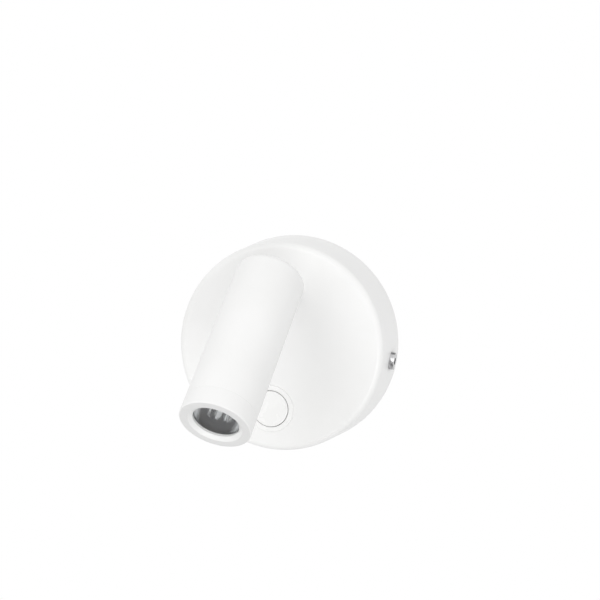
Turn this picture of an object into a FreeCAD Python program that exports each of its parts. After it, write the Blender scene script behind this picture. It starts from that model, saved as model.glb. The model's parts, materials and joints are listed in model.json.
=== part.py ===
import FreeCAD, Part
import math
import os
import re

import Sketcher
from FreeCAD import Placement, Rotation, Vector

# Pivoting wall spotlight, in millimetres.  The wall is the plane Y = 0, the
# light stands out along -Y, +X is to the right and +Z is up.  The origin is
# the middle of the back of the base.
#
# Every piece is drawn along its own Z axis, which points away from the wall
# (or, in the head, towards the front of the lamp), and is then set in place.

SIZES = {
    # base cover: a drafted cup with a flat face
    "base_dia": 100.0,
    "base_depth": 29.5,
    "base_draft": 1.9,
    "base_wall": 2.0,
    "face_wall": 2.5,
    "edge_round": 3.0,
    # wall plate, its bent ears and its wall slots
    "plate_dia": 90.0,
    "plate_thick": 1.5,
    "ear_width": 10.0,
    "ear_height": 17.0,
    "ear_gap": 0.8,
    "slot_pitch": 64.0,
    "slot_length": 10.0,
    "slot_width": 5.0,
    # side screws that hold the cover to the ears
    "side_screw_up": 12.0,
    "side_screw_dia": 4.0,
    "side_head_dia": 8.0,
    "side_head_thick": 2.2,
    "side_screw_length": 8.0,
    "spot_depth": 0.3,
    # cable entry
    "cable_up": 12.0,
    "cable_bore": 7.0,
    "cable_hole": 15.0,
    "grommet_lip": 2.0,
    # power supply, terminals and earth
    "driver_down": 8.5,
    "driver_length": 46.0,
    "driver_height": 20.0,
    "driver_depth": 15.0,
    "driver_lid_thick": 1.0,
    "driver_tab": 6.0,
    "driver_screw_dia": 3.0,
    "block_side": 24.0,
    "block_up": 22.0,
    "pole_pitch": 6.0,
    "block_height": 12.0,
    "earth_side": 24.0,
    "earth_up": 20.0,
    # push switch on the face
    "button_down": 29.0,
    "button_dia": 16.6,
    "button_gap": 0.25,
    "button_proud": 0.9,
    "button_travel": 2.0,
    "bezel_wall": 1.05,
    "bezel_lip": 1.3,
    "bezel_proud": 0.5,
    "bezel_depth": 8.5,
    "switch_depth": 9.0,
    "plunger_dia": 4.0,
    # hollow stem that turns in the face and carries the head
    "stem_up": 27.0,
    "stem_reach": 39.0,
    "stem_dia": 8.0,
    "stem_bore": 4.0,
    "thread_dia": 10.0,
    "thread_depth": 13.5,
    "flange_dia": 13.0,
    "flange_thick": 2.0,
    "slip_thick": 0.4,
    "wave_thick": 0.6,
    "stem_nut_thick": 3.5,
    "run_gap": 0.06,
    # tilt joint inside the head
    "eye_thick": 5.0,
    "eye_neck": 6.5,
    "pin_dia": 4.0,
    "friction_thick": 0.5,
    "cheek_thick": 3.0,
    "cheek_round": 5.0,
    "yoke_back": 8.0,
    "yoke_thick": 5.0,
    # head
    "head_tilt": 45.0,
    "head_dia": 30.5,
    "head_wall": 1.4,
    "head_front": 68.0,
    "head_rear": 12.0,
    "rear_wall": 2.0,
    "rear_round": 3.0,
    "slot_gap": 0.6,
    "fit_gap": 0.1,
    # lamp inside the head
    "sink_core": 15.0,
    "sink_fins": 26.0,
    "fin_thick": 1.2,
    "sink_disc": 5.0,
    "board_dia": 20.0,
    "board_thick": 1.6,
    "emitter_side": 3.5,
    # front ring, lens and reflector
    "ring_length": 8.0,
    "ring_spigot": 5.0,
    "seam_groove": 0.25,
    "front_chamfer": 0.6,
    "bevel_dia": 23.6,
    "opening_dia": 20.2,
    "bevel_depth": 1.8,
    "lip_thick": 0.8,
    "recess_dia": 24.8,
    "gasket_thick": 0.6,
    "lens_thick": 2.5,
    "lens_dome": 0.9,
    "reflector_wall": 0.8,
}
FIN_COUNT = 12

# Lengths that several pieces share, written from the sizes above.
FACE_INSIDE = "(base_depth - face_wall)"
SCREW_SEAT = "(base_dia / 2 - base_draft * side_screw_up / base_depth - spot_depth)"
EAR_OUTSIDE = "(base_dia / 2 - base_draft * side_screw_up / base_depth - base_wall - ear_gap)"
DRIVER_TOP = "(plate_thick + driver_depth)"
BARREL = "(button_dia / 2 + button_gap + bezel_wall)"
BARREL_END = "(base_depth - bezel_depth)"
PIVOT_OUT = "(base_depth + stem_reach)"
FLANGE_SEAT = "(base_depth + slip_thick)"
WAVE_SEAT = "(base_depth - face_wall - wave_thick)"
CHEEK_INSIDE = "(eye_thick / 2 + friction_thick)"
CHEEK_OUTSIDE = "(eye_thick / 2 + friction_thick + cheek_thick)"
SLOT = "(stem_dia + 2 * slot_gap)"
HEAD_BORE = "(head_dia / 2 - head_wall)"
SINK_BACK = "(yoke_back + yoke_thick)"
SINK_DISC_BACK = "(yoke_back + yoke_thick + sink_fins)"
BOARD_BACK = "(yoke_back + yoke_thick + sink_fins + sink_disc)"
BOARD_FRONT = "(yoke_back + yoke_thick + sink_fins + sink_disc + board_thick)"
SEAM = "(head_front - ring_length)"
LIP_BACK = "(head_front - bevel_depth - lip_thick)"
LENS_FRONT = "(head_front - bevel_depth - lip_thick - gasket_thick)"
LENS_BACK = "(head_front - bevel_depth - lip_thick - gasket_thick - lens_thick)"

ALONG_X = Rotation(Vector(0, 1, 0), 90)
ALONG_Y = Rotation(Vector(1, 0, 0), -90)
ALIAS = re.compile(r"\b(" + "|".join(SIZES) + r")\b")

doc = FreeCAD.newDocument("WallSpotlight")
sheet = doc.addObject("Spreadsheet::Sheet", "Sizes")
pieces = []


def fill_sheet():
    """Keep each driving size in its own named cell."""
    for row, (alias, value) in enumerate(SIZES.items(), 1):
        sheet.set(f"A{row}", alias)
        sheet.set(f"B{row}", str(value))
        sheet.setAlias(f"B{row}", alias)
    doc.recompute()


def bind(item, field, text):
    """Tie one property to a formula in the sheet's names."""
    item.setExpression(field, ALIAS.sub(r"Sizes.\1", text))


def move(item, spot):
    """Tie an item's place to three formulas."""
    for axis, text in zip("xyz", spot):
        bind(item, "Placement.Base." + axis, text)


def rod(radius, length, spot=("0", "0", "0"), turn=None):
    """Cylinder from spot, along Z or along the way that turn gives."""
    item = doc.addObject("Part::Cylinder", "Rod")
    if turn is not None:
        item.Placement = Placement(Vector(), turn)
    bind(item, "Radius", radius)
    bind(item, "Height", length)
    move(item, spot)
    return item


def block(size, middle, bottom):
    """Box centred on middle in X and Y, standing on the height bottom."""
    item = doc.addObject("Part::Box", "Block")
    for field, text in zip(("Length", "Width", "Height"), size):
        bind(item, field, text)
    spot = [f"({at}) - ({wide}) / 2" for at, wide in zip(middle, size)]
    move(item, spot + [bottom])
    return item


def hexagon(across_corners, length, spot=("0", "0", "0"), turn=None):
    """Six-sided prism, for nuts and sockets."""
    item = doc.addObject("Part::Prism", "Hexagon")
    item.Polygon = 6
    if turn is not None:
        item.Placement = Placement(Vector(), turn)
    bind(item, "Circumradius", f"({across_corners}) / 2")
    bind(item, "Height", length)
    move(item, spot)
    return item


def join(*items):
    """One shape from several."""
    if len(items) == 1:
        return items[0]
    item = doc.addObject("Part::MultiFuse", "Join")
    item.Shapes = list(items)
    return item


def cut(base, *tools):
    """Base less every tool."""
    item = doc.addObject("Part::Cut", "Cut")
    item.Base = base
    item.Tool = join(*tools)
    return item


def group(*items):
    """Several separate solids under one node."""
    item = doc.addObject("Part::Compound", "Group")
    item.Links = list(items)
    return item


def origin_feature(body, role):
    return next(item for item in body.Origin.OriginFeatures if item.Role == role)


def outline(body, plane, corners):
    """Closed sketch whose corners are tied to formulas."""
    sketch = body.newObject("Sketcher::SketchObject", "Outline")
    sketch.AttachmentSupport = [(origin_feature(body, plane), "")]
    sketch.MapMode = "FlatFace"
    count = len(corners)
    turns = [2 * math.pi * step / count for step in range(count)]
    spots = [Vector(20 + 10 * math.cos(turn), 20 + 10 * math.sin(turn), 0) for turn in turns]
    for step in range(count):
        sketch.addGeometry(Part.LineSegment(spots[step], spots[(step + 1) % count]), False)
    for step in range(count):
        sketch.addConstraint(Sketcher.Constraint("Coincident", step, 2, (step + 1) % count, 1))
    for step, corner in enumerate(corners):
        for kind, axis, text in (("DistanceX", -2, corner[0]), ("DistanceY", -1, corner[1])):
            if text == "0":
                sketch.addConstraint(Sketcher.Constraint("PointOnObject", step, 1, axis))
                continue
            number = sketch.addConstraint(Sketcher.Constraint(kind, -1, 1, step, 1, 20.0))
            bind(sketch, f"Constraints[{number}]", text)
    return sketch


def turned(corners):
    """Body turned about Z from (radius, height) corners."""
    body = doc.addObject("PartDesign::Body", "Turned")
    sketch = outline(body, "XZ_Plane", corners)
    feature = body.newObject("PartDesign::Revolution", "Turning")
    feature.Profile = sketch
    feature.ReferenceAxis = (sketch, ["V_Axis"])
    feature.Angle = 360
    doc.recompute()
    return body


def round_rim(body, radius, front):
    """Fillet the widest circle at the front or the back end of a body."""
    base = body.Tip
    shape = base.Shape
    level = shape.BoundBox.ZMax if front else shape.BoundBox.ZMin
    rims = []
    for number, edge in enumerate(shape.Edges, 1):
        is_circle = isinstance(edge.Curve, Part.Circle)
        if is_circle and abs(edge.Curve.Center.z - level) < 1e-4:
            rims.append((edge.Curve.Radius, f"Edge{number}"))
    feature = body.newObject("PartDesign::Fillet", "Rounding")
    feature.Base = (base, [max(rims)[1]])
    bind(feature, "Radius", radius)
    body.Tip = feature
    doc.recompute()
    return body


def finish(item, node, spot=("0", "0", "0"), tilt="0"):
    """Name a piece and stand its Z axis out from the wall, tilted down by tilt."""
    item.Label = node
    item.Placement = Placement(Vector(), Rotation(Vector(1, 0, 0), 90))
    bind(item, "Placement.Rotation.Angle", f"90 + {tilt}")
    move(item, spot)
    pieces.append(item)
    return item


def in_base(item, node):
    finish(item, node)


def at_button(item, node):
    finish(item, node, ("0", "0", "-button_down"))


def at_stem(item, node):
    finish(item, node, ("0", "0", "stem_up"))


def in_head(item, node):
    finish(item, node, ("0", f"-{PIVOT_OUT}", "stem_up"), "head_tilt")


def obround(length, width, middle, bottom, height):
    """Cutter for a slot along X with round ends."""
    half = f"(({length}) - ({width})) / 2"
    ends = [
        rod(f"({width}) / 2", height, (f"({middle[0]}) {sign} {half}", middle[1], bottom))
        for sign in "+-"
    ]
    bar = block((f"({length}) - ({width})", width, height), middle, bottom)
    return join(bar, *ends)


def pan_screw(shank, length, head, thick, seat, spot, turn=None, outward=1):
    """Screw whose head stands on the level seat; outward -1 points the head back."""
    if outward > 0:
        shaft_start = f"({seat}) - ({length})"
        head_start = seat
        socket_start = f"({seat}) + ({thick}) / 2"
    else:
        shaft_start = seat
        head_start = f"({seat}) - ({thick})"
        socket_start = f"({seat}) - ({thick}) - 1"

    def at(level):
        if turn is None:
            return (spot[0], spot[1], level)
        return (level, spot[1], spot[2])

    shaft = rod(f"({shank}) / 2", length, at(shaft_start), turn)
    cap = rod(f"({head}) / 2", thick, at(head_start), turn)
    socket = hexagon(f"({head}) * 0.45", f"({thick}) / 2 + 1", at(socket_start), turn)
    return cut(join(shaft, cap), socket)


# ---------------------------------------------------------------- base

def make_base_cover():
    """Drafted cup; holes for the stem, the switch and the two side screws."""
    front = "base_dia / 2 - base_draft"
    cup = turned([
        ("base_dia / 2", "0"),
        (front, "base_depth"),
        ("0", "base_depth"),
        ("0", FACE_INSIDE),
        (f"{front} - base_wall", FACE_INSIDE),
        ("base_dia / 2 - base_wall", "0"),
    ])
    round_rim(cup, "edge_round", front=True)
    stem_hole = rod("thread_dia / 2 + run_gap", "base_depth", ("0", "stem_up", "1"))
    switch_hole = rod(f"{BARREL} + fit_gap", "base_depth", ("0", "-button_down", "1"))
    screw_holes = rod(
        "side_screw_dia / 2 + fit_gap", "base_dia + 2", ("-base_dia / 2 - 1", "0", "side_screw_up"), ALONG_X)
    spots = [
        rod("side_head_dia / 2 + 2 * fit_gap", "5", (start, "0", "side_screw_up"), ALONG_X)
        for start in (SCREW_SEAT, f"-{SCREW_SEAT} - 5")
    ]
    in_base(cut(cup, stem_hole, switch_hole, screw_holes, *spots), "base_cover")


def make_wall_plate():
    """Steel plate with two bent ears, two wall slots and the cable hole."""
    disc = rod("plate_dia / 2", "plate_thick")
    strip = block((f"2 * {EAR_OUTSIDE}", "ear_width", "plate_thick"), ("0", "0"), "0")
    ears = [
        block(("plate_thick", "ear_width", "ear_height"), (f"{sign}({EAR_OUTSIDE} - plate_thick / 2)", "0"), "0")
        for sign in ("", "-")
    ]
    slots = [
        obround("slot_length", "slot_width", (f"{sign}slot_pitch / 2", "0"), "-1", "plate_thick + 2")
        for sign in ("", "-")
    ]
    cable_hole = rod("cable_hole / 2 + fit_gap", "plate_thick + 2", ("0", "cable_up", "-1"))
    thread = rod(
        "side_screw_dia / 2 + 0.02", "base_dia", ("-base_dia / 2", "0", "side_screw_up"), ALONG_X)
    driver_holes = [
        rod("driver_screw_dia / 2 + 0.02", "plate_thick + 2",
            (f"{sign}(driver_length + driver_tab) / 2", "-driver_down - driver_height / 4", "-1"))
        for sign in ("", "-")
    ]
    earth_hole = rod("2.02", "plate_thick + 2", ("earth_side", "earth_up", "-1"))
    body = cut(join(disc, strip, *ears), *slots, cable_hole, thread, *driver_holes, earth_hole)
    in_base(body, "wall_plate")


def make_cover_screws():
    screws = []
    for outward in (1, -1):
        seat = SCREW_SEAT if outward > 0 else f"-{SCREW_SEAT}"
        screws.append(pan_screw(
            "side_screw_dia", "side_screw_length", "side_head_dia", "side_head_thick",
            seat, ("0", "0", "side_screw_up"), ALONG_X, outward))
    in_base(group(*screws), "cover_screws")


def make_cable_grommet():
    """Rubber ring that lines the cable hole, open for the supply cable."""
    groove = "cable_hole / 2"
    lip = "cable_hole / 2 + grommet_lip"
    ring = turned([
        ("cable_bore / 2", "0"),
        (groove, "0"),
        (groove, "plate_thick"),
        (lip, "plate_thick"),
        (lip, "plate_thick + grommet_lip / 2"),
        (groove, "plate_thick + grommet_lip"),
        ("cable_bore / 2", "plate_thick + grommet_lip"),
    ])
    finish(ring, "cable_grommet", ("0", "0", "cable_up"))


def make_led_driver():
    """Closed power supply with two screw tabs, and its lid."""
    case = block(("driver_length", "driver_height", "driver_depth"), ("0", "-driver_down"), "plate_thick")
    tab_row = "-driver_down - driver_height / 4"
    tabs = block(
        ("driver_length + 2 * driver_tab", "driver_height / 2", "plate_thick"), ("0", tab_row), "plate_thick")
    holes = [
        rod("driver_screw_dia / 2 + fit_gap", "plate_thick + 2",
            (f"{sign}(driver_length + driver_tab) / 2", tab_row, "plate_thick - 1"))
        for sign in ("", "-")
    ]
    in_base(cut(join(case, tabs), *holes), "led_driver")
    lid = block(
        ("driver_length - 2", "driver_height - 2", "driver_lid_thick"), ("0", "-driver_down"), DRIVER_TOP)
    in_base(group(lid), "driver_lid")
    screws = [
        pan_screw(
            "driver_screw_dia", "2 * plate_thick - fit_gap", "5.4", "1.8", "2 * plate_thick",
            (f"{sign}(driver_length + driver_tab) / 2", tab_row, "0"))
        for sign in ("", "-")
    ]
    in_base(group(*screws), "driver_screws")


def make_terminals():
    """Three-pole terminal block with a wire way and a screw for each pole."""
    body = block(
        ("3.4 * pole_pitch", "block_height", "block_height"), ("-block_side", "block_up"), "plate_thick")
    poles = [f"-block_side {shift} pole_pitch" for shift in ("-", "+ 0 *", "+")]
    ways = [
        rod("1.8", "block_height + 2", (pole, "block_up - block_height / 2 - 1", "plate_thick + block_height / 3"),
            ALONG_Y)
        for pole in poles
    ]
    wells = [rod("1.9", "4", (pole, "block_up", "plate_thick + block_height - 3")) for pole in poles]
    in_base(cut(body, *ways, *wells), "terminal_block")
    screws = [
        cut(rod("1.8", "2.2", (pole, "block_up", "plate_thick + block_height - 3")),
            block(("4", "0.6", "1"), (pole, "block_up"), "plate_thick + block_height - 1.5"))
        for pole in poles
    ]
    in_base(group(*screws), "terminal_screws")


def make_earth():
    washer = cut(
        rod("4.5", "0.8", ("earth_side", "earth_up", "plate_thick")),
        rod("2.1", "2", ("earth_side", "earth_up", "plate_thick - 0.5")))
    in_base(washer, "earth_washer")
    screw = pan_screw(
        "4", "plate_thick + 0.7", "7.6", "2.4", "plate_thick + 0.8", ("earth_side", "earth_up", "0"))
    in_base(screw, "earth_screw")


# ---------------------------------------------------------------- switch

def make_switch():
    """Push switch: a barrel with a lip on the face, its nut, body and button."""
    bore = "button_dia / 2 + button_gap"
    lip = f"{BARREL} + bezel_lip"
    bezel = turned([
        (bore, BARREL_END),
        (BARREL, BARREL_END),
        (BARREL, "base_depth"),
        (lip, "base_depth"),
        (f"{lip} - bezel_proud / 2", "base_depth + bezel_proud"),
        (bore, "base_depth + bezel_proud"),
    ])
    at_button(bezel, "switch_bezel")
    nut = cut(
        hexagon(f"2 * ({BARREL} + 3)", "3", ("0", "0", f"{FACE_INSIDE} - 3")),
        rod(f"{BARREL} + 0.02", "5", ("0", "0", f"{FACE_INSIDE} - 4")))
    at_button(nut, "switch_nut")

    plunger_end = f"{BARREL_END} - button_travel - 1.5"
    case = rod(BARREL, "switch_depth", ("0", "0", f"{BARREL_END} - switch_depth"))
    well = rod("plunger_dia / 2 + run_gap", "button_travel * 3", ("0", "0", f"{BARREL_END} - 2 * button_travel - 2"))
    tabs = [
        block(("0.8", "4.8", "6"), (f"{sign}4", "0"), f"{BARREL_END} - switch_depth - 5")
        for sign in ("", "-")
    ]
    at_button(cut(join(case, *tabs), well), "switch_body")

    rim = "button_dia / 2"
    top = "base_depth + button_proud"
    skirt = "base_depth - 4"
    button = turned([
        ("0", plunger_end),
        ("plunger_dia / 2", plunger_end),
        ("plunger_dia / 2", f"{top} - 2"),
        (f"{rim} - 1.2", f"{top} - 2"),
        (f"{rim} - 1.2", skirt),
        (rim, skirt),
        (rim, top),
        ("0", top),
    ])
    round_rim(button, "button_proud / 2", front=True)
    at_button(button, "switch_button")


# ---------------------------------------------------------------- swivel stem

def make_stem():
    """Hollow post: threaded foot, flange, tube and a flat eye for the tilt pin."""
    foot = "base_depth - thread_depth"
    flange_top = f"{FLANGE_SEAT} + flange_thick"
    bore_end = f"{PIVOT_OUT} - eye_neck - 1"
    post = turned([
        ("stem_bore / 2", foot),
        ("thread_dia / 2", foot),
        ("thread_dia / 2", FLANGE_SEAT),
        ("flange_dia / 2", FLANGE_SEAT),
        ("flange_dia / 2", f"{flange_top} - flange_thick / 4"),
        ("flange_dia / 2 - flange_thick / 4", flange_top),
        ("stem_dia / 2", flange_top),
        ("stem_dia / 2", PIVOT_OUT),
        ("0", PIVOT_OUT),
        ("0", bore_end),
        ("stem_bore / 2", bore_end),
    ])
    eye = rod("stem_dia / 2", "eye_thick", ("-eye_thick / 2", "0", PIVOT_OUT), ALONG_X)
    flats = [
        block(("stem_dia", "stem_dia * 2", "eye_neck + stem_dia"),
              (f"{sign}(eye_thick + stem_dia) / 2", "0"), f"{PIVOT_OUT} - eye_neck")
        for sign in ("", "-")
    ]
    pin_hole = rod("pin_dia / 2 + run_gap", "2 * stem_dia", ("-stem_dia", "0", PIVOT_OUT), ALONG_X)
    wire_exit = rod("stem_bore * 0.45", "stem_dia", ("0", "0", f"{bore_end} - stem_bore / 2"), ALONG_Y)
    at_stem(cut(join(post, eye), *flats, pin_hole, wire_exit), "stem")

    slip = cut(
        rod("flange_dia / 2 - 0.2", "slip_thick", ("0", "0", "base_depth")),
        rod("thread_dia / 2 + fit_gap", "2", ("0", "0", "base_depth - 1")))
    at_stem(slip, "slip_washer")
    wave = cut(
        rod("thread_dia / 2 + 3", "wave_thick", ("0", "0", WAVE_SEAT)),
        rod("thread_dia / 2 + fit_gap", "2", ("0", "0", f"{WAVE_SEAT} - 0.5")))
    at_stem(wave, "spring_washer")
    nut = cut(
        hexagon("thread_dia * 1.6", "stem_nut_thick", ("0", "0", f"{WAVE_SEAT} - stem_nut_thick")),
        rod("thread_dia / 2 + 0.02", "stem_nut_thick + 2", ("0", "0", f"{WAVE_SEAT} - stem_nut_thick - 1")))
    at_stem(nut, "stem_nut")


# ---------------------------------------------------------------- tilt joint

def make_yoke():
    """Disc with two round-ended cheeks that take the tilt pin."""
    disc = rod(f"{HEAD_BORE} - fit_gap", "yoke_thick", ("0", "0", "yoke_back"))
    cheeks = []
    for start in (CHEEK_INSIDE, f"-{CHEEK_OUTSIDE}"):
        cheeks.append(rod("cheek_round", "cheek_thick", (start, "0", "0"), ALONG_X))
        cheeks.append(block(
            ("cheek_thick", "2 * cheek_round", "yoke_back"), (f"{start} + cheek_thick / 2", "0"), "0"))
    pin_hole = rod("pin_dia / 2 + 0.02", "head_dia", ("-head_dia / 2", "0", "0"), ALONG_X)
    wire_hole = rod("stem_bore / 2", "yoke_thick + 2", ("0", "0", "yoke_back - 1"))
    screw_holes = [
        rod("1.35", "yoke_thick + 2", ("0", f"{sign}cheek_round", "yoke_back - 1")) for sign in ("", "-")
    ]
    in_head(cut(join(disc, *cheeks), pin_hole, wire_hole, *screw_holes), "tilt_yoke")
    screws = []
    for sign in ("", "-"):
        spot = ("0", f"{sign}cheek_round", "yoke_back")
        head_spot = ("0", f"{sign}cheek_round", "yoke_back - 1.6")
        socket_spot = ("0", f"{sign}cheek_round", "yoke_back - 2.6")
        shaft = rod("1.25", "yoke_thick + 6", spot)
        screws.append(cut(join(shaft, rod("2.2", "1.6", head_spot)), hexagon("2", "1.8", socket_spot)))
    in_head(group(*screws), "yoke_screws")


def make_tilt_pin():
    """Socket screw through cheeks and eye, its nut and the friction washers."""
    shank = f"2 * {CHEEK_OUTSIDE} + 2.4"
    screw = pan_screw("pin_dia", shank, "7.2", "2.2", CHEEK_OUTSIDE, ("0", "0", "0"), ALONG_X)
    in_head(screw, "tilt_screw")
    nut = cut(
        hexagon("8", "2.3", (f"-{CHEEK_OUTSIDE} - 2.3", "0", "0"), ALONG_X),
        rod("pin_dia / 2 + 0.02", "5", (f"-{CHEEK_OUTSIDE} - 4", "0", "0"), ALONG_X))
    in_head(nut, "tilt_nut")
    washers = []
    for start in ("eye_thick / 2", f"-{CHEEK_INSIDE}"):
        washers.append(cut(
            rod("stem_dia / 2", "friction_thick", (start, "0", "0"), ALONG_X),
            rod("pin_dia / 2 + 0.05", "friction_thick + 1", (f"{start} - 0.5", "0", "0"), ALONG_X)))
    in_head(group(*washers), "friction_washers")


# ---------------------------------------------------------------- head

def make_head_shell():
    """Closed tube, slotted from the middle of its rear end to its underside."""
    tube = turned([
        ("0", "0"),
        ("head_dia / 2", "0"),
        ("head_dia / 2", f"head_rear + {SEAM}"),
        (HEAD_BORE, f"head_rear + {SEAM}"),
        (HEAD_BORE, "rear_wall"),
        ("0", "rear_wall"),
    ])
    round_rim(tube, "rear_round", front=False)
    below = "head_dia / 2 + 1"
    quarter = block((SLOT, below, "head_rear + 1"), ("0", f"-({below}) / 2"), "-1")
    under_end = rod(f"{SLOT} / 2", below, ("0", f"-({below})", "head_rear"), ALONG_Y)
    rear_end = rod(f"{SLOT} / 2", "head_rear + 1", ("0", "0", "-1"))
    shell = cut(tube, quarter, under_end, rear_end)
    spot = (
        "0",
        f"-{PIVOT_OUT} + head_rear * cos(head_tilt)",
        "stem_up + head_rear * sin(head_tilt)",
    )
    finish(shell, "head_shell", spot, "head_tilt")


def make_heat_sink():
    """Finned core: turned core and disc, and one fin repeated round it."""
    body = turned([
        ("stem_bore / 2", SINK_BACK),
        ("sink_core / 2", SINK_BACK),
        ("sink_core / 2", SINK_DISC_BACK),
        (f"{HEAD_BORE} - fit_gap", SINK_DISC_BACK),
        (f"{HEAD_BORE} - fit_gap", BOARD_BACK),
        ("stem_bore / 2", BOARD_BACK),
    ])
    fin_inside = "sink_core / 2 - 0.5"
    fin_outside = f"{HEAD_BORE} - 3 * fit_gap"
    sketch = outline(body, "XY_Plane", [
        (fin_inside, "0"),
        (fin_outside, "0"),
        (fin_outside, "fin_thick"),
        (fin_inside, "fin_thick"),
    ])
    bind(sketch, "AttachmentOffset.Base.z", f"{SINK_BACK} + 1")
    fin = body.newObject("PartDesign::Pad", "Fin")
    fin.Profile = sketch
    bind(fin, "Length", "sink_fins - 1")
    doc.recompute()
    fins = body.newObject("PartDesign::PolarPattern", "Fins")
    fins.Originals = [fin]
    fins.Axis = (origin_feature(body, "Z_Axis"), [""])
    fins.Angle = 360
    fins.Occurrences = FIN_COUNT
    body.Tip = fins
    doc.recompute()
    yoke_holes = [
        rod("1.27", "6.5", ("0", f"{sign}cheek_round", SINK_BACK)) for sign in ("", "-")
    ]
    board_holes = [
        rod("1.02", "4", (f"{sign}board_dia * 0.39", "0", f"{BOARD_BACK} - 3")) for sign in ("", "-")
    ]
    in_head(cut(body, *yoke_holes, *board_holes), "heat_sink")


def make_led():
    """Round board with two screws, and the light source in its middle."""
    holes = [
        rod("1.1", "board_thick + 2", (f"{sign}board_dia * 0.39", "0", f"{BOARD_BACK} - 1"))
        for sign in ("", "-")
    ]
    in_head(cut(rod("board_dia / 2", "board_thick", ("0", "0", BOARD_BACK)), *holes), "led_board")
    screws = [
        pan_screw("2", "board_thick + 2.5", "3.8", "1.2", BOARD_FRONT, (f"{sign}board_dia * 0.39", "0", "0"))
        for sign in ("", "-")
    ]
    in_head(group(*screws), "board_screws")
    chip = block(("emitter_side", "emitter_side", "0.8"), ("0", "0"), BOARD_FRONT)
    dome = doc.addObject("Part::Sphere", "Dome")
    bind(dome, "Radius", "emitter_side * 0.4")
    dome.Angle1 = 0
    move(dome, ("0", "0", f"{BOARD_FRONT} + 0.8"))
    in_head(join(chip, dome), "led_emitter")


def make_front():
    """Front ring with its bevel, and the gasket, lens and reflector behind it."""
    spigot = f"{HEAD_BORE} - fit_gap"
    rim = "head_dia / 2"
    spigot_end = f"{SEAM} - ring_spigot"
    ring = turned([
        ("recess_dia / 2", spigot_end),
        (spigot, spigot_end),
        (spigot, SEAM),
        (f"{rim} - seam_groove", SEAM),
        (rim, f"{SEAM} + seam_groove"),
        (rim, "head_front - front_chamfer"),
        (f"{rim} - front_chamfer", "head_front"),
        ("bevel_dia / 2", "head_front"),
        ("opening_dia / 2", "head_front - bevel_depth"),
        ("opening_dia / 2", LIP_BACK),
        ("recess_dia / 2", LIP_BACK),
    ])
    in_head(ring, "front_ring")
    edge = "recess_dia / 2 - fit_gap"
    gasket = cut(
        rod(edge, "gasket_thick", ("0", "0", LENS_FRONT)),
        rod("opening_dia / 2 - 0.4", "gasket_thick + 2", ("0", "0", f"{LENS_FRONT} - 1")))
    in_head(gasket, "lens_gasket")
    dome = "opening_dia / 2 - 0.6"
    lens = turned([
        ("0", LENS_BACK),
        (edge, LENS_BACK),
        (edge, LENS_FRONT),
        (dome, LENS_FRONT),
        (f"({dome}) * 0.85", f"{LENS_FRONT} + lens_dome * 0.45"),
        (f"({dome}) * 0.5", f"{LENS_FRONT} + lens_dome * 0.82"),
        ("0", f"{LENS_FRONT} + lens_dome"),
    ])
    in_head(lens, "lens")
    mouth = "recess_dia / 2 - 1.6"
    foot = "emitter_side * 0.9"
    flange_back = f"{LENS_BACK} - reflector_wall"
    reflector = turned([
        (foot, BOARD_FRONT),
        (f"{foot} + reflector_wall", BOARD_FRONT),
        (mouth, flange_back),
        (edge, flange_back),
        (edge, LENS_BACK),
        (f"{mouth} - reflector_wall", LENS_BACK),
    ])
    in_head(reflector, "reflector")


def check_document():
    """Stop if any object failed or any piece isn't a sound solid."""
    doc.recompute()
    for item in doc.Objects:
        if "Invalid" in item.State or "Error" in item.State:
            raise RuntimeError(f"{item.Label} ({item.Name}) failed: {item.State}")
    for piece in pieces:
        shape = piece.Shape
        if shape.isNull() or not shape.isValid() or shape.Volume <= 0:
            raise RuntimeError(f"{piece.Label} has no sound shape")


def export():
    os.makedirs("parts", exist_ok=True)
    for piece in pieces:
        piece.Shape.exportStep(f"parts/{piece.Label}.step")
        box = piece.Shape.BoundBox
        print(f"{piece.Label:18s} solids {len(piece.Shape.Solids)}  volume {piece.Shape.Volume:9.1f}"
              f"  x {box.XMin:7.1f} {box.XMax:7.1f}  y {box.YMin:7.1f} {box.YMax:7.1f}"
              f"  z {box.ZMin:7.1f} {box.ZMax:7.1f}")


fill_sheet()
make_base_cover()
make_wall_plate()
make_cover_screws()
make_cable_grommet()
make_led_driver()
make_terminals()
make_earth()
make_switch()
make_stem()
make_yoke()
make_tilt_pin()
make_head_shell()
make_heat_sink()
make_led()
make_front()
check_document()
export()
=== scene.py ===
"""Pivoting wall spotlight: finished surfaces and materials round the fixed frame."""
import json
import math

import bmesh
import bpy
from mathutils import Matrix, Vector


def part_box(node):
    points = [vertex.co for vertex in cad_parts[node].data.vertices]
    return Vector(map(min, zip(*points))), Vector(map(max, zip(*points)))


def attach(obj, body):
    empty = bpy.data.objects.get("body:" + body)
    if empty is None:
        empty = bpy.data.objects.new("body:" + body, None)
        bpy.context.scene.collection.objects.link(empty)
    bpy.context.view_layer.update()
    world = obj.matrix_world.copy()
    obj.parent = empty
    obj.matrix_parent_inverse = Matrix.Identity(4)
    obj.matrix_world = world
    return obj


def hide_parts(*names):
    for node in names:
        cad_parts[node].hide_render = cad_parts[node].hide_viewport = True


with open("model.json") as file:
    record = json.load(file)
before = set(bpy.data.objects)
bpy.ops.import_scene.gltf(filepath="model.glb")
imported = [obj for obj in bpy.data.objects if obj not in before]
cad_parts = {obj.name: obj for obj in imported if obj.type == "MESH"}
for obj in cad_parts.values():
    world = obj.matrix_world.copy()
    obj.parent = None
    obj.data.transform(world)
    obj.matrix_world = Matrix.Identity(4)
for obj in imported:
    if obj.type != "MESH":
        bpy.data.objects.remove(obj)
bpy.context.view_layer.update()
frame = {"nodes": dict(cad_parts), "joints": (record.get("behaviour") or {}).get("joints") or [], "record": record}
nodes = frame["nodes"]
joints = {joint["name"]: joint for joint in frame["joints"]}
slots = {row["node"]: row["material_slot"] for row in frame["record"]["subparts"]}

MM = 0.001

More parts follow.
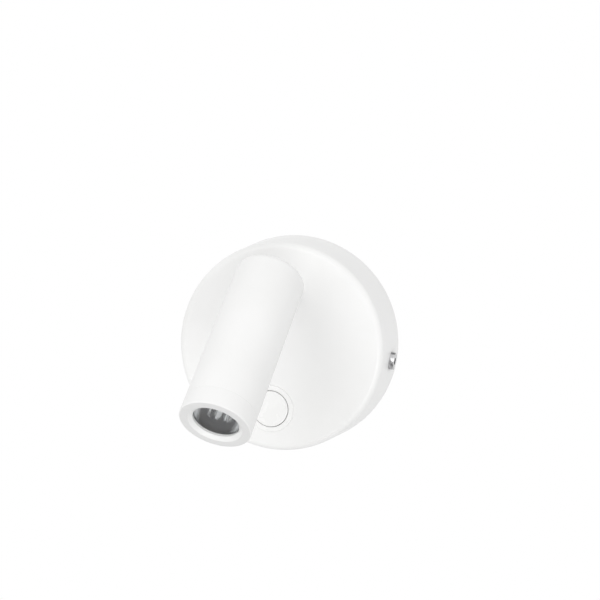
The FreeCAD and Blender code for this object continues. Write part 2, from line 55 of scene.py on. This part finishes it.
# Facets round a turned shape's axis, and along its rounded corners and curves; the
# most of an edge that a rounding takes, and how near the axis counts as on it.
TURN_STEPS = 144
BASE_STEPS = 216
HOLE_STEPS = 96
ARC_STEPS = 6
HEAD_ARC_STEPS = 8
BASE_ARC_STEPS = 10
DOME_STEPS = 12
CUP_STEPS = 8
ROUND_SHARE = 0.49
ON_AXIS = 1e-6
SHARP_ANGLE = math.radians(32)

# All sizes down to the reflector's are in millimetres. Heights on the base are from
# the wall, and heights on the head from the tilt axis towards the front.
FINE_ROUND = 0.1
SOFT_ROUND = 0.2
CUT_OVER = 2.0

# Base cover, with the spans of the cutters through its face and its sides.
BASE_BACK_RADIUS = 50.0
BASE_FRONT_RADIUS = 48.1
BASE_DEPTH = 29.5
BASE_WALL = 2.0
FACE_WALL = 2.5
EDGE_ROUND = 3.0
BACK_ROUND = 0.25
INSIDE_ROUND = 0.8
STEM_HOLE = 5.06
SWITCH_HOLE = 9.7
FACE_CUT = (20, 40)
SIDE_SCREW_UP = 12.0
SIDE_HOLE = 2.1
SIDE_SPOT = 4.2
SIDE_SEAT = 48.93
SIDE_CUT = (40, 60)

# Push button, and the barrel and lip of the ring round it.
BUTTON_RADIUS = 8.3
BUTTON_GAP = 0.25
BUTTON_PROUD = 0.9
BUTTON_ROUND = 0.45
BUTTON_WALL = 1.2
BUTTON_THICK = 2.0
BUTTON_SKIRT = 4.0
DISH_RIM = 1.6
DISH_ROUND = 0.6
DISH_DEPTH = 0.12
PLUNGER_RADIUS = 2.0
PLUNGER_END = 17.5
BARREL_RADIUS = 9.6
BARREL_END = 21.0
LIP_RADIUS = 10.9
LIP_PROUD = 0.5
LIP_DRAFT = 0.2
LIP_ROUND = 0.25
LIP_FOOT_ROUND = 0.05
LIP_BORE_ROUND = 0.15

# Head tube, tilted down from straight out by this many degrees.
HEAD_TILT = 45.0
HEAD_RADIUS = 15.25
HEAD_BORE = 13.85
HEAD_REAR = 12.0
HEAD_FRONT = 68.0
REAR_WALL = 2.0
REAR_ROUND = 3.0
REAR_INSIDE_ROUND = 0.6
MOUTH_ROUND = 0.12
SLOT_WIDTH = 9.2

# Front ring. A face whose normal is this near the head's axis is part of its front, which takes a darker copy of
# the white paint as painted shade.
FRONT_FACING = 0.95
SEAM = 60.0
SEAM_CHAMFER = 0.08
SEAM_ROUND = 0.06
CHAMFER_ROUND = 0.04
SPIGOT_END = 55.0
SPIGOT_GAP = 0.1
RIM_ROUND = 0.5
BEVEL_RADIUS = 11.5
BEVEL_DEPTH = 1.4
OPENING_RADIUS = 9.85
RECESS_RADIUS = 12.4
RECESS_GAP = 0.1
LIP_THICK = 1.2
LIP_BACK = HEAD_FRONT - BEVEL_DEPTH - LIP_THICK

# Lens: a flange in the ring's recess, and a domed boss through the gasket.
GASKET_THICK = 0.6
LENS_THICK = 2.5
LENS_FRONT = LIP_BACK - GASKET_THICK
LENS_BACK = LENS_FRONT - LENS_THICK
LENS_DOME = 0.9
BOSS_GAP = 0.15
BOSS_RISE = 0.3

# Reflector cup, from the board to the lens.
BOARD_FRONT = 45.6
CUP_GAP = 0.05
CUP_FOOT = 3.15
CUP_FLANGE = 2.4
CUP_WALL = 0.8
CUP_DROP = 0.3

# Painted reflection in the reflector's colour: where it turns from a painted dark
# reflection to a painted highlight, as heights with a noise in them that paints
# streaks, and as shares of a glancing view.
REFLECTOR_PAINTED_DARK = 60.5
REFLECTOR_PAINTED_HIGHLIGHT = 59.7
REFLECTOR_PAINTED_STREAKS = 4.5
GLANCE_PAINTED_DARK = 0.3
GLANCE_PAINTED_HIGHLIGHT = 0.5

# Fine surface grain: noise scale, height in metres, strength.
PAINT_GRAIN = (1400.0, 0.00002, 0.25)
PLASTIC_GRAIN = (600.0, 0.000008, 0.15)
METAL_GRAIN = (900.0, 0.00001, 0.2)
SCREW_GRAIN = (700.0, 0.000006, 0.2)
GRAIN_DETAIL = 2.0
GLOSS_FINENESS = 4
COAT_ROUGH = 0.12
RAMP_ENDS = (0.3, 0.7)

# Studio: the floor in millimetres, then each soft box as its name, its place and
# side in metres, and its watts.
FLOOR_HALF = 6000
FLOOR_DROP = 900
AMBIENT = 0.87
LAMPS = (
    ("key", (-0.7, -1.6, 0.6), 1.2, 7.0),
    ("low_fill", (0.8, -1.7, -0.6), 0.9, 9.0),
)
LAMP_AIM = Vector((0, -0.05, 0))

# The photo's viewpoint, from a fit to the base's rims, the button and the ring:
# degrees, millimetres across and up, millimetres away, and lens and sensor.
CAMERA_AZIMUTH = 13.6
CAMERA_ELEVATION = 7.3
CAMERA_ROLL = 7.9
CAMERA_SHIFT = (2.2, 18.9)
CAMERA_DISTANCE = 677.4
CAMERA_LENS = 85.0
CAMERA_SENSOR = 36.0

# Places from the fixed frame. A turned shape's Z axis points out of the wall on
# the base and out of the lamp's front on the head.
BASE_FRAME = Matrix.Rotation(math.radians(90), 4, "X")
BUTTON_UP = (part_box("switch_button")[0].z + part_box("switch_button")[1].z) / 2 / MM
STEM_UP = joints["head_pan"]["pos_m"][2] / MM
BUTTON_FRAME = BASE_FRAME @ Matrix.Translation((0, BUTTON_UP, 0))
STEM_FRAME = BASE_FRAME @ Matrix.Translation((0, STEM_UP, 0))
PIVOT = Vector(joints["head_tilt"]["pos_m"]) / MM
HEAD_FRAME = Matrix.Translation(PIVOT) @ Matrix.Rotation(math.radians(90 + HEAD_TILT), 4, "X")
AHEAD = HEAD_FRAME.to_3x3() @ Vector((0, 0, 1))


# ---------------------------------------------------------------- materials

def new_material(name):
    made = bpy.data.materials.new(name)
    made.use_nodes = True
    tree = made.node_tree
    return made, tree, tree.nodes["Principled BSDF"]


def noise(tree, scale, detail=3.0, rough=0.5):
    """Noise in the object's own coordinates."""
    place = tree.nodes.new("ShaderNodeTexCoord")
    texture = tree.nodes.new("ShaderNodeTexNoise")
    texture.inputs["Scale"].default_value = scale
    texture.inputs["Detail"].default_value = detail
    texture.inputs["Roughness"].default_value = rough
    tree.links.new(place.outputs["Object"], texture.inputs["Vector"])
    return texture.outputs["Fac"]


def colour_ramp(tree, value, low, high, ends=RAMP_ENDS):
    """Map a value to a colour or a grey between two ends."""
    node = tree.nodes.new("ShaderNodeValToRGB")
    for stop, colour, place in zip(node.color_ramp.elements, (low, high), ends):
        stop.color = (*colour, 1) if isinstance(colour, tuple) else (colour, colour, colour, 1)
        stop.position = place
    tree.links.new(value, node.inputs["Fac"])
    return node.outputs["Color"]


def calculate(tree, operation, *values):
    """Result of a maths node; each value is a number or another node's output."""
    node = tree.nodes.new("ShaderNodeMath")
    node.operation = operation
    for socket, value in zip(node.inputs, values):
        if isinstance(value, bpy.types.NodeSocket):
            tree.links.new(value, socket)
        else:
            socket.default_value = value
    return node.outputs[0]


def vector_node(tree, operation, value, vector):
    """Outputs of a vector maths node that takes a node's output and a fixed vector."""
    node = tree.nodes.new("ShaderNodeVectorMath")
    node.operation = operation
    tree.links.new(value, node.inputs[0])
    node.inputs[1].default_value = vector
    return node.outputs


def share_between(tree, value, none, full):
    """0 where the value is at one limit and 1 where it is at the other."""
    node = tree.nodes.new("ShaderNodeMapRange")
    node.inputs["From Min"].default_value = none
    node.inputs["From Max"].default_value = full
    tree.links.new(value, node.inputs["Value"])
    return node.outputs["Result"]


def surface(name, dark, light, rough, metal=0.0, grain=PAINT_GRAIN, tint_scale=40.0, coat=0.0):
    """Solid finish: colour varying at random between two tints, uneven gloss and a fine surface grain; on the side
    screws that variation is a painted reflection.
    """
    made, tree, shader = new_material(name)
    tint = colour_ramp(tree, noise(tree, tint_scale), dark, light)
    tree.links.new(tint, shader.inputs["Base Color"])
    gloss = colour_ramp(tree, noise(tree, tint_scale * GLOSS_FINENESS), *rough)
    tree.links.new(gloss, shader.inputs["Roughness"])
    shader.inputs["Metallic"].default_value = metal
    if coat:
        shader.inputs["Coat Weight"].default_value = coat
        shader.inputs["Coat Roughness"].default_value = COAT_ROUGH
    scale, height, strength = grain
    relief = tree.nodes.new("ShaderNodeBump")
    relief.inputs["Strength"].default_value = strength
    relief.inputs["Distance"].default_value = height
    tree.links.new(noise(tree, scale, GRAIN_DETAIL), relief.inputs["Height"])
    tree.links.new(relief.outputs["Normal"], shader.inputs["Normal"])
    return made


def lens_material():
    """Clear optical plastic."""
    made, tree, shader = new_material("optic_clear")
    tint = colour_ramp(tree, noise(tree, 60.0), (0.93, 0.95, 0.96), (0.97, 0.98, 0.99))
    tree.links.new(tint, shader.inputs["Base Color"])
    shader.inputs["Transmission Weight"].default_value = 1.0
    shader.inputs["IOR"].default_value = 1.35
    shader.inputs["Roughness"].default_value = 0.02
    return made


def reflector_painted_reflection_material():
    """Metallised cup with painted reflection: painted highlight low in the cup and at a glance, painted dark
    reflection where it faces out.
    """
    made, tree, shader = new_material("reflector_painted_reflection")
    place = tree.nodes.new("ShaderNodeTexCoord")
    offset = vector_node(tree, "SUBTRACT", place.outputs["Object"], PIVOT * MM)["Vector"]
    along = vector_node(tree, "DOT_PRODUCT", offset, AHEAD)["Value"]
    # Painted reflection: the base colour and metal follow height, a noise ripple that paints streaks, and the
    # glancing view.
    ripple = noise(tree, scale=420.0, detail=4.0, rough=0.75)
    height = calculate(tree, "MULTIPLY_ADD", ripple, REFLECTOR_PAINTED_STREAKS * MM, along)
    deep_painted_highlight = share_between(tree, height, REFLECTOR_PAINTED_DARK * MM, REFLECTOR_PAINTED_HIGHLIGHT * MM)
    glance = tree.nodes.new("ShaderNodeLayerWeight")
    glance.inputs["Blend"].default_value = 0.5
    edge = share_between(tree, glance.outputs["Facing"], GLANCE_PAINTED_DARK, GLANCE_PAINTED_HIGHLIGHT)
    painted_highlight = calculate(tree, "MAXIMUM", deep_painted_highlight, edge)
    # Painted highlight and painted dark reflection, set as the base colour.
    painted_reflection_tone = colour_ramp(tree, painted_highlight, (0.03, 0.03, 0.032), 0.96, ends=(0.0, 1.0))
    tree.links.new(painted_reflection_tone, shader.inputs["Base Color"])
    tree.links.new(calculate(tree, "SUBTRACT", 1.0, painted_highlight), shader.inputs["Metallic"])
    gloss = colour_ramp(tree, noise(tree, 300.0), 0.08, 0.16)
    tree.links.new(gloss, shader.inputs["Roughness"])
    return made


# Each surface is a name, its darkest and lightest tint, and its range of roughness.
MATERIALS = {
    "white_paint": surface(
        "satin_white_paint", (0.83, 0.83, 0.822), (0.87, 0.87, 0.865), (0.36, 0.44),
        tint_scale=25.0, coat=0.15),
    # Darker copy of the white paint for the front ring's face: painted shade where that face turns down away from
    # the light.
    "front_painted_shade": surface(
        "front_ring_painted_shade", (0.72, 0.72, 0.715), (0.75, 0.75, 0.745), (0.42, 0.50),
        tint_scale=25.0),
    "white_plastic": surface(
        "switch_white_plastic", (0.84, 0.84, 0.83), (0.87, 0.87, 0.862), (0.24, 0.30),
        grain=PLASTIC_GRAIN, tint_scale=60.0),
    "white_nylon": surface(
        "natural_nylon", (0.70, 0.69, 0.65), (0.78, 0.77, 0.73), (0.45, 0.55)),
    "zinc_steel": surface(
        "zinc_plate", (0.50, 0.51, 0.53), (0.66, 0.67, 0.69), (0.28, 0.42),
        metal=1.0, grain=METAL_GRAIN, tint_scale=180.0),
    "chrome_screw": surface(
        "nickel_plate", (0.60, 0.60, 0.61), (0.74, 0.74, 0.75), (0.12, 0.20),
        metal=1.0, grain=SCREW_GRAIN, tint_scale=240.0),
    # Side screws: plated metal whose colour runs in patches from near black to near white, a painted reflection of
    # dark and light surroundings.
    "side_screw_painted_reflection": surface(
        "screw_painted_reflection", (0.02, 0.02, 0.022), (0.92, 0.92, 0.93), (0.08, 0.14),
        metal=1.0, grain=SCREW_GRAIN, tint_scale=250.0),
    "black_rubber": surface(
        "black_rubber", (0.012, 0.012, 0.012), (0.03, 0.03, 0.03), (0.45, 0.6)),
    "driver_plastic": surface(
        "driver_case_plastic", (0.70, 0.70, 0.68), (0.76, 0.76, 0.74), (0.5, 0.6)),
    "terminal_plastic": surface(
        "dark_plastic", (0.03, 0.03, 0.032), (0.06, 0.06, 0.064), (0.4, 0.5)),
    "brass_parts": surface(
        "plain_brass", (0.52, 0.38, 0.14), (0.66, 0.50, 0.22), (0.25, 0.38),
        metal=1.0, tint_scale=200.0),
    "bare_aluminium": surface(
        "machined_aluminium", (0.58, 0.59, 0.60), (0.72, 0.73, 0.74), (0.25, 0.38),
        metal=1.0, tint_scale=150.0),
    "white_board": surface(
        "board_mask", (0.72, 0.72, 0.71), (0.80, 0.80, 0.79), (0.3, 0.4)),
    "led_phosphor": surface(
        "led_phosphor", (0.62, 0.46, 0.08), (0.72, 0.56, 0.12), (0.3, 0.4)),
    "bright_reflector": reflector_painted_reflection_material(),
    "clear_lens": lens_material(),
}

# The cover screws take the metal with a painted reflection.
for node, made in nodes.items():
    made.data.materials.clear()
    made.data.materials.append(MATERIALS["side_screw_painted_reflection" if node == "cover_screws" else slots[node]])


# ---------------------------------------------------------------- mesh tools

def rounded(corners, arc_steps):
    """Points of a closed outline; each corner is (radius, height, rounding)."""
    points = []
    for index, (across, up, blend) in enumerate(corners):
        here = Vector((across, up))
        if not blend:
            points.append(here)
            continue
        before = Vector(corners[index - 1][:2]) - here
        after = Vector(corners[(index + 1) % len(corners)][:2]) - here
        half = before.angle(after) / 2
        longest = min(before.length, after.length) * ROUND_SHARE
        reach = min(blend / math.tan(half), longest)
        radius = reach * math.tan(half)
        start, end = here + before.normalized() * reach, here + after.normalized() * reach
        inward = (before.normalized() + after.normalized()).normalized()
        middle = here + inward * (radius / math.sin(half))
        first, last = start - middle, end - middle
        sweep = first.angle_signed(last)
        for step in range(arc_steps + 1):
            points.append(middle + Matrix.Rotation(-sweep * step / arc_steps, 2) @ first)
    return points


def shade(data):
    """Smooth shading that breaks at real edges."""
    for face in data.polygons:
        face.use_smooth = True
    data.set_sharp_from_angle(angle=SHARP_ANGLE)


def mesh_object(name, shape, place, material):
    """Object from a bmesh in millimetres, put in place, with clean shading."""
    bmesh.ops.transform(shape, matrix=Matrix.Scale(MM, 4) @ place, verts=shape.verts)
    bmesh.ops.recalc_face_normals(shape, faces=shape.faces)
    data = bpy.data.meshes.new(name)
    shape.to_mesh(data)
    shape.free()
    shade(data)
    made = bpy.data.objects.new(name, data)
    bpy.context.scene.collection.objects.link(made)
    made.data.materials.append(material)
    return made


def lathe(corners, steps=TURN_STEPS, arc_steps=ARC_STEPS):
    """Closed outline turned about Z; points on the axis become one vertex."""
    shape = bmesh.new()
    rings = []
    for point in rounded(corners, arc_steps):
        if abs(point.x) < ON_AXIS:
            rings.append([shape.verts.new((0, 0, point.y))])
            continue
        turns = [2 * math.pi * step / steps for step in range(steps)]
        rings.append([
            shape.verts.new((point.x * math.cos(turn), point.x * math.sin(turn), point.y))
            for turn in turns
        ])
    for low, high in zip(rings, rings[1:] + rings[:1]):
        if len(low) == 1 and len(high) == 1:
            continue
        for step in range(steps):
            following = (step + 1) % steps
            around = [low[step % len(low)], low[following % len(low)],
                      high[following % len(high)], high[step % len(high)]]
            shape.faces.new(list(dict.fromkeys(around)))
    return shape


def rod(radius, start, end):
    """Closed cylinder along Z, used as a cutter."""
    return lathe([(0, start, 0), (radius, start, 0), (radius, end, 0), (0, end, 0)], HOLE_STEPS)


def block(low, high):
    """Box between two corners, used as a cutter."""
    low, high = Vector(low), Vector(high)
    shape = bmesh.new()
    bmesh.ops.create_cube(shape, size=1.0)
    stretch = Matrix.Diagonal((*(high - low), 1))
    bmesh.ops.transform(
        shape, verts=shape.verts, matrix=Matrix.Translation((low + high) / 2) @ stretch)
    return shape


def cutter_object(shape, place):
    return mesh_object("cutter", shape, place, MATERIALS["white_paint"])


def carve(piece, cutters):
    """Take the cutters out of a piece for good."""
    for cutter in cutters:
        step = piece.modifiers.new("carve", "BOOLEAN")
        step.operation = "DIFFERENCE"
        step.solver = "EXACT"
        step.object = cutter
    graph = bpy.context.evaluated_depsgraph_get()
    result = bpy.data.meshes.new_from_object(piece.evaluated_get(graph))
    piece.modifiers.clear()
    piece.data = result
    shade(result)
    for cutter in cutters:
        bpy.data.objects.remove(cutter)


def fit(piece, node, body):
    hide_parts(node)
    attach(piece, body)


# ---------------------------------------------------------------- base

def make_base_cover():
    cup = lathe([
        (BASE_BACK_RADIUS, 0, BACK_ROUND),
        (BASE_FRONT_RADIUS, BASE_DEPTH, EDGE_ROUND),
        (0, BASE_DEPTH, 0),
        (0, BASE_DEPTH - FACE_WALL, 0),
        (BASE_FRONT_RADIUS - BASE_WALL, BASE_DEPTH - FACE_WALL, INSIDE_ROUND),
        (BASE_BACK_RADIUS - BASE_WALL, 0, BACK_ROUND),
    ], BASE_STEPS, BASE_ARC_STEPS)
    cover = mesh_object("base_cover_shell", cup, BASE_FRAME, MATERIALS["white_paint"])
    cutters = [
        cutter_object(rod(STEM_HOLE, *FACE_CUT), STEM_FRAME),
        cutter_object(rod(SWITCH_HOLE, *FACE_CUT), BUTTON_FRAME),
    ]
    for side in (1, -1):
        outward = Matrix.Rotation(math.radians(90 * side), 4, "Y")
        place = BASE_FRAME @ Matrix.Translation((0, 0, SIDE_SCREW_UP)) @ outward
        cutters.append(cutter_object(rod(SIDE_HOLE, *SIDE_CUT), place))
        cutters.append(cutter_object(rod(SIDE_SPOT, SIDE_SEAT, SIDE_CUT[1]), place))
    carve(cover, cutters)
    fit(cover, "base_cover", "base")


def make_switch():
    bore = BUTTON_RADIUS + BUTTON_GAP
    lip_front = BASE_DEPTH + LIP_PROUD
    ring = lathe([
        (bore, BARREL_END, FINE_ROUND),
        (BARREL_RADIUS, BARREL_END, FINE_ROUND),
        (BARREL_RADIUS, BASE_DEPTH, 0),
        (LIP_RADIUS, BASE_DEPTH, LIP_FOOT_ROUND),
        (LIP_RADIUS - LIP_DRAFT, lip_front, LIP_ROUND),
        (bore, lip_front, LIP_BORE_ROUND),
    ])
    bezel = mesh_object("switch_bezel_ring", ring, BUTTON_FRAME, MATERIALS["white_plastic"])
    fit(bezel, "switch_bezel", "base")

    top = BASE_DEPTH + BUTTON_PROUD
    ceiling = top - BUTTON_THICK
    skirt_end = BASE_DEPTH - BUTTON_SKIRT
    inside = BUTTON_RADIUS - BUTTON_WALL
    cap = lathe([
        (0, PLUNGER_END, 0),
        (PLUNGER_RADIUS, PLUNGER_END, SOFT_ROUND),
        (PLUNGER_RADIUS, ceiling, SOFT_ROUND),
        (inside, ceiling, SOFT_ROUND),
        (inside, skirt_end, SOFT_ROUND),
        (BUTTON_RADIUS, skirt_end, SOFT_ROUND),
        (BUTTON_RADIUS, top, BUTTON_ROUND),
        (BUTTON_RADIUS - DISH_RIM, top, DISH_ROUND),
        (0, top - DISH_DEPTH, 0),
    ])
    button = mesh_object("switch_button_cap", cap, BUTTON_FRAME, MATERIALS["white_plastic"])
    fit(button, "switch_button", "button")


# ---------------------------------------------------------------- head

def make_head_shell():
    """Tube whose slot for the stem runs from the middle of its rear end to its underside."""
    tube = lathe([
        (0, -HEAD_REAR, 0),
        (HEAD_RADIUS, -HEAD_REAR, REAR_ROUND),
        (HEAD_RADIUS, SEAM, SEAM_ROUND),
        (HEAD_BORE, SEAM, MOUTH_ROUND),
        (HEAD_BORE, REAR_WALL - HEAD_REAR, REAR_INSIDE_ROUND),
        (0, REAR_WALL - HEAD_REAR, 0),
    ], arc_steps=HEAD_ARC_STEPS)
    shell = mesh_object("head_tube", tube, HEAD_FRAME, MATERIALS["white_paint"])
    half = SLOT_WIDTH / 2
    below = HEAD_RADIUS + CUT_OVER
    behind = HEAD_REAR + CUT_OVER
    downward = HEAD_FRAME @ Matrix.Rotation(math.radians(90), 4, "X")
    carve(shell, [
        cutter_object(block((-half, -below, -behind), (half, 0, 0)), HEAD_FRAME),
        cutter_object(rod(half, -behind, 0), HEAD_FRAME),
        cutter_object(rod(half, 0, below), downward),
    ])
    fit(shell, "head_shell", "head")


def make_front_ring():
    spigot = HEAD_BORE - SPIGOT_GAP
    ring = lathe([
        (RECESS_RADIUS, SPIGOT_END, FINE_ROUND),
        (spigot, SPIGOT_END, FINE_ROUND),
        (spigot, SEAM, 0),
        (HEAD_RADIUS - SEAM_CHAMFER, SEAM, 0),
        (HEAD_RADIUS, SEAM + SEAM_CHAMFER, CHAMFER_ROUND),
        (HEAD_RADIUS, HEAD_FRONT, RIM_ROUND),
        (BEVEL_RADIUS, HEAD_FRONT, SOFT_ROUND),
        (OPENING_RADIUS, HEAD_FRONT - BEVEL_DEPTH, SOFT_ROUND),
        (OPENING_RADIUS, LIP_BACK, FINE_ROUND),
        (RECESS_RADIUS, LIP_BACK, FINE_ROUND),
    ])
    trim = mesh_object("front_trim_ring", ring, HEAD_FRAME, MATERIALS["white_paint"])
    # The front face takes the darker copy of the paint: painted shade.
    trim.data.materials.append(MATERIALS["front_painted_shade"])
    for face in trim.data.polygons:
        if face.normal.dot(AHEAD) > FRONT_FACING:
            face.material_index = 1
    fit(trim, "front_ring", "head")


def make_lens():
    flange = RECESS_RADIUS - RECESS_GAP
    boss = OPENING_RADIUS - BOSS_GAP
    shoulder = LENS_FRONT + GASKET_THICK + BOSS_RISE
    dome = []
    for step in range(DOME_STEPS + 1):
        across = boss * (1 - step / DOME_STEPS)
        dome.append((across, shoulder + LENS_DOME * (1 - (across / boss) ** 2), 0))
    glass = lathe([
        (0, LENS_BACK, 0),
        (flange, LENS_BACK, FINE_ROUND),
        (flange, LENS_FRONT, FINE_ROUND),
        (boss, LENS_FRONT, 0),
        *dome,
    ])
    lens = mesh_object("front_lens", glass, HEAD_FRAME, MATERIALS["clear_lens"])
    fit(lens, "lens", "head")


def make_reflector():
    """Parabolic cup between the board and the lens, with a flange at its mouth."""
    flange = RECESS_RADIUS - RECESS_GAP
    mouth = RECESS_RADIUS - CUP_FLANGE
    floor, front = BOARD_FRONT + CUP_GAP, LENS_BACK - CUP_GAP
    inside = []
    for step in range(CUP_STEPS + 1):
        part = step / CUP_STEPS
        across = CUP_FOOT + (mouth - CUP_FOOT) * math.sqrt(part)
        inside.append((across, floor + (front - floor) * part, 0))
    outside = [(across + CUP_WALL, up - CUP_DROP, 0) for across, up, _ in reversed(inside[1:-1])]
    cup = lathe([
        *inside,
        (flange, front, 0),
        (flange, LENS_BACK - CUP_WALL, 0),
        (mouth + CUP_WALL, LENS_BACK - CUP_WALL, 0),
        *outside,
        (CUP_FOOT + CUP_WALL, floor, 0),
    ])
    reflector = mesh_object("lamp_reflector", cup, HEAD_FRAME, MATERIALS["bright_reflector"])
    fit(reflector, "reflector", "head")


# ---------------------------------------------------------------- stage

def backdrop_share(tree):
    """1 for what the camera sees, also in reflections and glass, and 0 for light on the object."""
    path = tree.nodes.new("ShaderNodeLightPath")
    seen = calculate(
        tree, "MAXIMUM", path.outputs["Is Camera Ray"], path.outputs["Is Glossy Ray"])
    return calculate(tree, "MAXIMUM", seen, path.outputs["Is Transmission Ray"])


def show_white(tree, lit, white, output):
    """White backdrop for the camera, and the lit shader for everything else."""
    mix = tree.nodes.new("ShaderNodeMixShader")
    tree.links.new(backdrop_share(tree), mix.inputs["Fac"])
    tree.links.new(lit, mix.inputs[1])
    tree.links.new(white, mix.inputs[2])
    tree.links.new(mix.outputs["Shader"], output.inputs["Surface"])


def floor_material():
    made, tree, shader = new_material("pale_floor")
    tint = colour_ramp(tree, noise(tree, 2.0), 0.72, 0.76)
    tree.links.new(tint, shader.inputs["Base Color"])
    shader.inputs["Roughness"].default_value = 0.9
    glow = tree.nodes.new("ShaderNodeEmission")
    show_white(
        tree, shader.outputs["BSDF"], glow.outputs["Emission"], tree.nodes["Material Output"])
    return made


def make_floor():
    shape = bmesh.new()
    bmesh.ops.create_grid(shape, x_segments=1, y_segments=1, size=FLOOR_HALF)
    floor = mesh_object("floor", shape, Matrix.Translation((0, 0, -FLOOR_DROP)), floor_material())


def make_world():
    world = bpy.data.worlds.new("studio")
    bpy.context.scene.world = world
    world.use_nodes = True
    tree = world.node_tree
    ambient = tree.nodes["Background"]
    backdrop = tree.nodes.new("ShaderNodeBackground")
    for node, strength in ((ambient, AMBIENT), (backdrop, 1.0)):
        node.inputs["Color"].default_value = (1, 1, 1, 1)
        node.inputs["Strength"].default_value = strength
    show_white(
        tree, ambient.outputs["Background"], backdrop.outputs["Background"],
        tree.nodes["World Output"])


def make_lamp(name, place, side, power):
    """Square soft box that looks at the middle of the light."""
    data = bpy.data.lights.new(name, "AREA")
    data.shape = "SQUARE"
    data.size = side
    data.energy = power
    made = bpy.data.objects.new(name, data)
    made.location = place
    made.rotation_mode = "QUATERNION"
    made.rotation_quaternion = (LAMP_AIM - Vector(place)).to_track_quat("-Z", "Y")
    bpy.context.scene.collection.objects.link(made)


def make_camera():
    turn, rise, roll = map(math.radians, (CAMERA_AZIMUTH, CAMERA_ELEVATION, CAMERA_ROLL))
    back = Vector((
        math.sin(turn) * math.cos(rise), -math.cos(turn) * math.cos(rise), math.sin(rise)))
    level = Vector((math.cos(turn), math.sin(turn), 0))
    right = math.cos(roll) * level + math.sin(roll) * back.cross(level)
    up = back.cross(right)
    data = bpy.data.cameras.new("photo_camera")
    data.lens = CAMERA_LENS
    data.sensor_width = CAMERA_SENSOR
    data.dof.use_dof = False
    made = bpy.data.objects.new("photo_camera", data)
    across, above = CAMERA_SHIFT
    spot = (right * across + up * above + back * CAMERA_DISTANCE) * MM
    axes = Matrix((right, up, back)).transposed().to_4x4()
    made.matrix_world = Matrix.Translation(spot) @ axes
    bpy.context.scene.collection.objects.link(made)
    bpy.context.scene.camera = made


make_base_cover()
make_switch()
make_head_shell()
make_front_ring()
make_lens()
make_reflector()
make_floor()
make_world()
for row in LAMPS:
    make_lamp(*row)
make_camera()
bpy.context.scene.view_settings.view_transform = "Standard"
